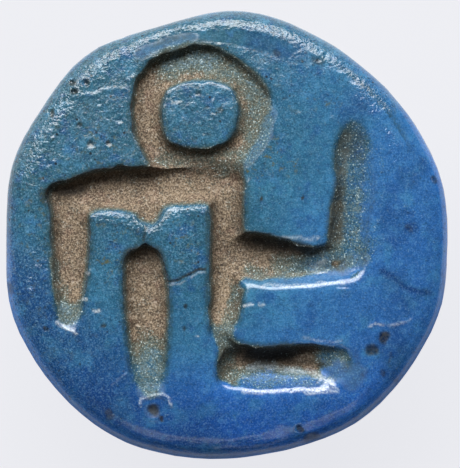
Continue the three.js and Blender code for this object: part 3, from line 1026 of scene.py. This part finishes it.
# %% Choose the strokes for the shine
UPPER_RIM = [
    (22, 170), (45, 120), (72, 86), (103, 58), (140, 40), (200, 34), (265, 34), (305, 45), (350, 75), (385, 105),
]
MATTE_STROKES = [
    (0.0, 16, UPPER_RIM),
    (0.9, 5.5, [(142, 57), (152, 52), (168, 45), (192, 42)]),
    (1.0, 6, [(268, 116), (264, 137), (255, 151), (246, 162)]),
    (0.8, 6, [(145, 389), (161, 389)]),
    (1.0, 6, [(151, 409), (154, 409)]),
    (0.7, 4, [(246, 367), (286, 367.5), (306, 370)]),
    (1.0, 9, [(334, 368), (346, 372), (350, 380), (357, 371)]),
    (1.0, 7, [(330, 266), (346, 266), (358, 260)]),
]
SPARKLE_STROKES = [
    (0.9, 15, [(22, 170), (45, 120), (72, 86), (100, 60)]),
    (0.9, 10, [(100, 60), (125, 46), (142, 37)]),
    (0.8, 6, [(140, 38), (170, 31), (200, 27)]),
    (0.5, 7, [(200, 27), (225, 25), (265, 30), (300, 41)]),
    (0.7, 6, [(300, 41), (325, 56), (345, 70)]),
    (0.35, 7, [(345, 70), (368, 90), (382, 104)]),
    (0.8, 5, [(95, 217), (125, 219), (148, 232), (165, 225), (185, 211), (204, 211)]),
    (0.15, 7, [(148, 441), (225, 444), (271, 441), (300, 432)]),
    (0.5, 7, [(45, 267), (33, 286)]),
    (0.4, 15, [(183, 232), (188, 258)]),
    (0.25, 15, [(103, 238), (108, 262)]),
    (0.5, 12, [(400, 215), (415, 225)]),
    (0.4, 10, [(360, 100), (395, 160)]),
]
print("shine:", len(MATTE_STROKES) + len(SPARKLE_STROKES), "strokes")

# %% Paint them all on the vertices
worn = how_worn(x, y)
write_attribute(amulet, "worn_glaze", worn)
matte = brush(0.07 + 0.06 * worn, MATTE_STROKES, brush_x, brush_y, feather=0.6)
write_attribute(amulet, "matte", matte)
sparkle = brush(0.1 * worn, SPARKLE_STROKES, brush_x, brush_y, feather=0.6)
write_attribute(amulet, "sparkle", np.where(z > WIDEST, sparkle, 0))
for name, strokes, feather in (
    ("olive", OLIVE_STROKES, 0.6),
    ("stain", STAIN_STROKES, 0.4),
    ("deep_blue", DEEP_BLUE_STROKES, 0.7),
    ("scratch_and_highlight", SCRATCH_AND_HIGHLIGHT_STROKES, 0.5),
    ("pale_and_lit_paste", PALE_AND_LIT_PASTE_STROKES, 0.8),
):
    painted = brush(np.zeros(len(x)), strokes, brush_x, brush_y, feather)
    write_attribute(amulet, name, np.where(z > WIDEST, painted, 0))
print("attributes:", [attribute.name for attribute in amulet.data.attributes if attribute.data_type == "FLOAT"])

# %% [markdown]
# ### Back to metres
# The frame counts in metres. Scaling the object and applying the scale leaves it at the origin with a scale of one.

# %% Return to metres
amulet.scale = (MM,) * 3
bpy.ops.object.transform_apply(location=False, rotation=False, scale=True)
print("amulet in mm:", [round(side / MM, 2) for side in amulet.dimensions])

# %% [markdown]
# ## The material
# Three things show: the paste, whose quartz grains are a tenth of a millimetre, the glaze over it, and the dirt with
# painted shade.
# A picture could be laid on, but then it would be flat and fixed. Here nodes work every colour out from noise and from
# the attributes painted above, so it holds from any side. First come a few helpers that make the nodes short to write.

# %% Start the material
glazed = bpy.data.materials.new("blue_glaze_over_paste")
glazed.use_nodes = True
tree = glazed.node_tree
shader = tree.nodes["Principled BSDF"]


def add(kind, inputs=None, **settings):
    node = tree.nodes.new(kind)
    for key, value in settings.items():
        setattr(node, key, value)
    for key, value in (inputs or {}).items():
        if isinstance(value, bpy.types.NodeSocket):
            tree.links.new(value, node.inputs[key])
        else:
            node.inputs[key].default_value = value
    return node


print("material:", glazed.name)


# %% Helpers for colours
def srgb(red, green, blue):
    """A colour as a picture editor shows it, from 0 to 255, made linear."""
    channels = [channel / 255 for channel in (red, green, blue)]
    linear = [c / 12.92 if c <= 0.04045 else ((c + 0.055) / 1.055) ** 2.4 for c in channels]
    return (*linear, 1)


def colour_ramp(factor, *stops):
    node = add("ShaderNodeValToRGB", {"Fac": factor})
    elements = node.color_ramp.elements
    while len(elements) < len(stops):
        elements.new(0.5)
    for element, (position, colour) in zip(elements, stops):
        element.position = position
        element.color = colour
    return node.outputs["Color"]


def mix(factor, first, second):
    node = add("ShaderNodeMix", {"Factor": factor}, data_type="RGBA")
    for socket, value in ((node.inputs[6], first), (node.inputs[7], second)):
        if isinstance(value, bpy.types.NodeSocket):
            tree.links.new(value, socket)
        else:
            socket.default_value = value
    return node.outputs[2]


print("the darkest paste is", [round(channel, 3) for channel in srgb(50, 38, 27)])


# %% Helpers for sums and spans
def maths(operation, first, second=0.0, third=0.0, clamp=False):
    node = add("ShaderNodeMath", operation=operation, use_clamp=clamp)
    for socket, value in zip(node.inputs, (first, second, third)):
        if isinstance(value, bpy.types.NodeSocket):
            tree.links.new(value, socket)
        else:
            socket.default_value = value
    return node.outputs[0]


def span(value, low, high, out_low=0.0, out_high=1.0):
    node = add(
        "ShaderNodeMapRange",
        {"Value": value, "From Min": low, "From Max": high, "To Min": out_low, "To Max": out_high},
        interpolation_type="SMOOTHSTEP",
    )
    return node.outputs["Result"]


print("helpers ready, nodes so far:", len(tree.nodes))

# %% Read the place and the painted masks
place = add("ShaderNodeTexCoord").outputs["Object"]
millimetres = add("ShaderNodeMapping", {"Vector": place, "Scale": (1 / MM,) * 3}).outputs["Vector"]
split = add("ShaderNodeSeparateXYZ", {"Vector": millimetres})


def noise(per_mm, detail, roughness):
    node = add(
        "ShaderNodeTexNoise",
        {"Vector": millimetres, "Scale": per_mm, "Detail": detail, "Roughness": roughness},
    )
    return node.outputs["Fac"]


def painted_mask(name):
    return add("ShaderNodeAttribute", attribute_name=name).outputs["Fac"]


glaze_here = painted_mask("glaze")
shade_and_dirt_here = painted_mask("shade_and_dirt")
worn_here = painted_mask("worn_glaze")
matte_here = painted_mask("matte")
sparkle_here = painted_mask("sparkle")
pale_and_lit_paste_here = painted_mask("pale_and_lit_paste")
olive_here = painted_mask("olive")
lip_wear_and_shade_here = painted_mask("lip_wear_and_shade")
stain_here = painted_mask("stain")
deep_here = painted_mask("deep_blue")
scratch_and_highlight_here = painted_mask("scratch_and_highlight")
print("nodes so far:", len(tree.nodes))

# %% [markdown]
# ### The glaze's own blue
# The blue changes slowly, from grey teal at the upper left to ultramarine below and navy at the lower left. Large,
# soft noise bends the change, so that it doesn't look like a printed fade. Matte glaze scatters white light, and would
# come out too pale, so the blue beneath it is darker.

# %% Mix the blue
slant = maths("MULTIPLY_ADD", split.outputs["X"], 0.75, maths("MULTIPLY", split.outputs["Y"], -0.6))
cloudy = noise(0.35, 3, 0.55)
slant = maths("MULTIPLY_ADD", maths("SUBTRACT", cloudy, 0.5), 6, slant)
flat_place = add("ShaderNodeCombineXYZ", {"X": split.outputs["X"], "Y": split.outputs["Y"]}).outputs["Vector"]
from_middle = add("ShaderNodeVectorMath", {"Vector": flat_place}, operation="LENGTH").outputs["Value"]
slant = maths("ADD", slant, span(from_middle, 0, 8, -3.5, 0.5))
blue = colour_ramp(
    span(slant, -8, 8),
    (0.0, srgb(44, 84, 96)),
    (0.3, srgb(42, 90, 114)),
    (0.5, srgb(46, 99, 134)),
    (0.7, srgb(48, 102, 152)),
    (1.0, srgb(40, 90, 152)),
)
low = maths("MULTIPLY_ADD", maths("SUBTRACT", cloudy, 0.5), 3, split.outputs["Y"])
blue = mix(span(low, -4.5, -8.5, 0, 0.85), blue, srgb(30, 86, 178))
low_left = maths("MULTIPLY_ADD", split.outputs["X"], -0.7, maths("MULTIPLY", low, -0.75))
blue = mix(span(low_left, 4.8, 7.5, 0, 0.75), blue, srgb(22, 58, 112))
mottle = span(noise(1.3, 4, 0.65), 0.5, 0.7, 0, 0.5)
blue = mix(mottle, blue, srgb(26, 66, 128))
blue = mix(span(noise(0.9, 3, 0.6), 0.5, 0.68, 0, 0.35), blue, srgb(64, 128, 160))
blue = mix(deep_here, blue, srgb(18, 44, 96))
blue = mix(maths("MULTIPLY", matte_here, 0.65), blue, srgb(0, 66, 108))
print("blue mixed, nodes so far:", len(tree.nodes))

# %% [markdown]
# ### The rim
# The rim is painted lighter than the face. Below and at the right it is a clear, bright blue: painted light where the
# lamps reach it too little. Above it is milky: a painted reflection of the glowing floor where the rim turns away.

# %% Paint light and reflection on the rim
# Painted light on the lower and right rim, and a painted reflection of the floor on the upper rim.
on_rim = span(split.outputs["Z"], 6.9, 6.3, 0, 0.95)
rim_light_below_and_right = maths("MAXIMUM", span(split.outputs["Y"], 2, -4), span(split.outputs["X"], 6.5, 8.5, 0, 0.8))
blue = mix(maths("MULTIPLY", on_rim, rim_light_below_and_right), blue, srgb(46, 122, 208))
upper_rim_reflection = maths("MULTIPLY", span(split.outputs["Z"], 6.5, 6.0, 0, 0.9), span(split.outputs["Y"], -1, 4))
blue = mix(maths("MULTIPLY", upper_rim_reflection, span(split.outputs["X"], 9, 3, 0.5, 1)), blue, srgb(146, 176, 200))
print("rim tinted, nodes so far:", len(tree.nodes))

# %% [markdown]
# ### Grains in the glaze
# Seen close, the glaze is full of grains of the paste: pale ones, dark ones and olive ones, each a tenth to a quarter
# of a millimetre. The more it is worn, the more of them show. Pinholes come from a Voronoi pattern, which has one spot
# in each cell.

# %% Sow the grains
pale_grain = span(noise(11, 2, 0.6), 0.55, 0.75)
dark_grain = span(noise(8.3, 2, 0.6), 0.45, 0.25)
olive_grain = span(noise(4.1, 4, 0.7), 0.52, 0.68)
fine_tone = noise(15, 2, 0.7)
fine_share = span(worn_here, 0.1, 0.8, 0.62, 1)
blue = mix(maths("MULTIPLY", span(fine_tone, 0.5, 0.7, 0, 0.45), fine_share), blue, srgb(110, 152, 184))
blue = mix(maths("MULTIPLY", span(fine_tone, 0.5, 0.3, 0, 0.65), fine_share), blue, srgb(20, 44, 70))
middle_tone = noise(3.0, 4, 0.65)
blue = mix(span(middle_tone, 0.5, 0.7, 0, 0.25), blue, srgb(78, 136, 178))
blue = mix(span(middle_tone, 0.5, 0.3, 0, 0.35), blue, srgb(24, 58, 104))
blue = mix(maths("MULTIPLY", pale_grain, span(worn_here, 0, 1, 0.22, 0.50)), blue, srgb(112, 150, 170))
blue = mix(maths("MULTIPLY", dark_grain, span(worn_here, 0, 1, 0.45, 0.80)), blue, srgb(24, 46, 66))
olive_share = maths("MULTIPLY_ADD", worn_here, 0.35, olive_here, clamp=True)
blue = mix(maths("MULTIPLY", olive_grain, olive_share), blue, srgb(80, 86, 66))
pinhole = add("ShaderNodeTexVoronoi", {"Vector": millimetres, "Scale": 1.9, "Randomness": 1.0})
pinhole = span(pinhole.outputs["Distance"], 0.13, 0.07)
blue = mix(maths("MULTIPLY", pinhole, span(worn_here, 0.1, 0.8, 0.0, 0.8)), blue, srgb(34, 30, 26))
print("grains sown, nodes so far:", len(tree.nodes))

# %% [markdown]
# ### The bare paste
# The floors of the carving are bare, crushed quartz with lime and sand. Each grain is one cell of a Voronoi pattern
# and takes one tone. Slower noise makes browner, paler and redder places.

# %% Mix the paste
grain = add("ShaderNodeTexVoronoi", {"Vector": millimetres, "Scale": 10.5, "Randomness": 1.0})
grain_tone = add("ShaderNodeSeparateColor", {"Color": grain.outputs["Color"]}).outputs["Red"]
paste = colour_ramp(
    grain_tone,
    (0.0, srgb(56, 42, 31)),
    (0.2, srgb(86, 71, 54)),
    (0.75, srgb(110, 93, 73)),
    (0.93, srgb(126, 109, 89)),
    (1.0, srgb(160, 149, 134)),
)
slow_tone = noise(2.6, 3, 0.6)
paste = mix(span(slow_tone, 0.55, 0.3, 0, 0.6), paste, srgb(70, 56, 42))
paste = mix(span(slow_tone, 0.5, 0.75, 0, 0.25), paste, srgb(146, 128, 102))
paste = mix(span(noise(1.6, 2, 0.6), 0.5, 0.7, 0, 0.4), paste, srgb(112, 82, 70))
# Pale paste: partly painted light on open floors, partly an orange spot.
paste = mix(maths("MULTIPLY", pale_and_lit_paste_here, 0.8), paste, srgb(142, 124, 100))
paste = mix(span(fine_tone, 0.48, 0.62, 0, 0.6), paste, srgb(162, 146, 124))
paste = mix(span(fine_tone, 0.5, 0.34, 0, 0.95), paste, srgb(50, 38, 27))
print("paste mixed, nodes so far:", len(tree.nodes))

# %% [markdown]
# ### Thin glaze over the paste
# Between bare and blue the glaze thickens through olive and grey green. Its edge is broken up by grains and patches,
# because it soaks in unevenly.

# %% Break up the edge of the glaze
grains = maths("SUBTRACT", span(noise(13, 2, 0.6), 0.3, 0.7), 0.5)
patches = maths("SUBTRACT", span(noise(2.2, 3, 0.6), 0.3, 0.7), 0.5)
calm = span(glaze_here, 0.3, 0.8, 1.0, 0.5)
uneven = maths("ADD", maths("MULTIPLY", grains, 0.26), maths("MULTIPLY", patches, 0.25))
thickness = maths("MULTIPLY_ADD", uneven, calm, glaze_here, clamp=True)
print("edge broken up, nodes so far:", len(tree.nodes))

# %% Colour the thin glaze
thin = colour_ramp(
    thickness,
    (0.12, srgb(70, 62, 46)),
    (0.34, srgb(68, 78, 64)),
    (0.5, srgb(62, 88, 88)),
    (0.72, srgb(50, 95, 116)),
    (1.0, srgb(50, 98, 134)),
)
thin = mix(span(thickness, 0.2, 0.7, 0.4, 0.05), thin, paste)
thin = mix(maths("MULTIPLY", dark_grain, 0.85), thin, srgb(30, 36, 32))
thin = mix(maths("MULTIPLY", pale_grain, 0.5), thin, srgb(136, 148, 138))
thin = mix(span(fine_tone, 0.5, 0.34, 0, 0.7), thin, srgb(28, 38, 38))
thin = mix(span(fine_tone, 0.5, 0.66, 0, 0.28), thin, srgb(140, 156, 156))
skin = mix(span(thickness, 0.02, 0.25), paste, thin)
skin = mix(span(thickness, 0.65, 0.98), skin, blue)
print("skin mixed, nodes so far:", len(tree.nodes))

# %% [markdown]
# ### Wear, stains, shade, dirt, glints and scratches
# These lie over all the rest, in this order: dark lips, worn and in painted shade; stains; painted shade with dirt;
# white grains with painted glints; and scratches with painted highlights.

# %% Lay the wear, the painted shade, the dirt and the painted highlights over it
# Dark lips: thin, worn glaze, with painted shade on the lips that face away from the lamp.
skin = mix(maths("MULTIPLY", lip_wear_and_shade_here, span(noise(6, 3, 0.6), 0.3, 0.6, 0.1, 0.6)), skin, srgb(40, 60, 60))
stain_tone = mix(span(noise(7, 2, 0.6), 0.4, 0.6), srgb(12, 10, 5), srgb(48, 44, 22))
skin = mix(stain_here, skin, stain_tone)
# Painted shade and shadow in the carving, dark brown to black, with some dirt.
shade_and_dirt_tone = colour_ramp(shade_and_dirt_here, (0.3, srgb(58, 48, 36)), (0.7, srgb(40, 33, 24)), (1.0, srgb(16, 14, 10)))
skin = mix(maths("MULTIPLY", shade_and_dirt_here, 0.9), skin, shade_and_dirt_tone)
# White quartz grains with painted glints on them, in the thin glaze and on the floors.
white_share = maths("MULTIPLY", span(thickness, 0.95, 0.7, 0, 0.7), span(thickness, 0.0, 0.35, 0.15, 1.0))
white_grain_and_glint = maths("MULTIPLY", span(noise(15, 1, 0.5), 0.66, 0.72), white_share)
skin = mix(white_grain_and_glint, skin, srgb(188, 206, 208))
# White scratches and painted highlights.
skin = mix(maths("MULTIPLY", scratch_and_highlight_here, span(noise(12, 2, 0.6), 0.4, 0.6, 0.3, 1)), skin, srgb(208, 216, 220))
tree.links.new(skin, shader.inputs["Base Color"])
print("colour done, nodes so far:", len(tree.nodes))

# %% [markdown]
# ### Shine
# Thick glaze is smooth and glossy, bare paste is rough, and stains and the lower rim are duller than the rest.

# %% Set the gloss
ROUGH_PASTE, ROUGH_GLAZE, GLAZE_IOR = 0.85, 0.16, 1.55
glossy = maths("SUBTRACT", span(thickness, 0.4, 0.8), maths("MULTIPLY", matte_here, 0.9), clamp=True)
glossy = maths("SUBTRACT", glossy, maths("MULTIPLY", stain_here, 0.2), clamp=True)
lower_rim = maths("MULTIPLY", span(split.outputs["Z"], 6.8, 6.2, 0, 0.8), span(split.outputs["Y"], 0, -4))
glossy = maths("SUBTRACT", glossy, lower_rim, clamp=True)
rough = span(glossy, 0.0, 1.0, ROUGH_PASTE, ROUGH_GLAZE)
tree.links.new(rough, shader.inputs["Roughness"])
set_inputs(shader, {"IOR": GLAZE_IOR})
print("gloss set, nodes so far:", len(tree.nodes))

# %% [markdown]
# ### The finest relief
# What is finer than the mesh is left to bump: the grains of the paste, the worn skin, and the wrinkles that sparkle.

# %% Add the finest relief
RELIEF_HEIGHT = 0.06 * MM
grain_height = maths("MULTIPLY", grain.outputs["Distance"], span(thickness, 0.7, 0.3, 0, 0.8))
worn_height = maths("MULTIPLY", noise(7, 3, 0.6), span(worn_here, 0.1, 1, 0.15, 1.0))
sparkle_height = maths("MULTIPLY", noise(5.5, 2, 0.6), maths("MULTIPLY", sparkle_here, 3.2))
worn_height = maths("ADD", worn_height, sparkle_height)
worn_height = maths("MULTIPLY", worn_height, span(thickness, 0.4, 0.8))
relief = add(
    "ShaderNodeBump",
    {"Height": maths("ADD", grain_height, worn_height), "Strength": 0.5, "Distance": RELIEF_HEIGHT},
)
tree.links.new(relief.outputs["Normal"], shader.inputs["Normal"])
amulet.data.materials.append(glazed)
print("material:", glazed.name, "with", len(tree.nodes), "nodes")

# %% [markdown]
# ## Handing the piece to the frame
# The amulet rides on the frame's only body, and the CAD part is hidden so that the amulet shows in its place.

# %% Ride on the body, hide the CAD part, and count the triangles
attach(amulet, "root")
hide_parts("button_amulet")
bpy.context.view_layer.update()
triangles = sum(len(polygon.vertices) - 2 for polygon in amulet.data.polygons)
print("triangles:", triangles)
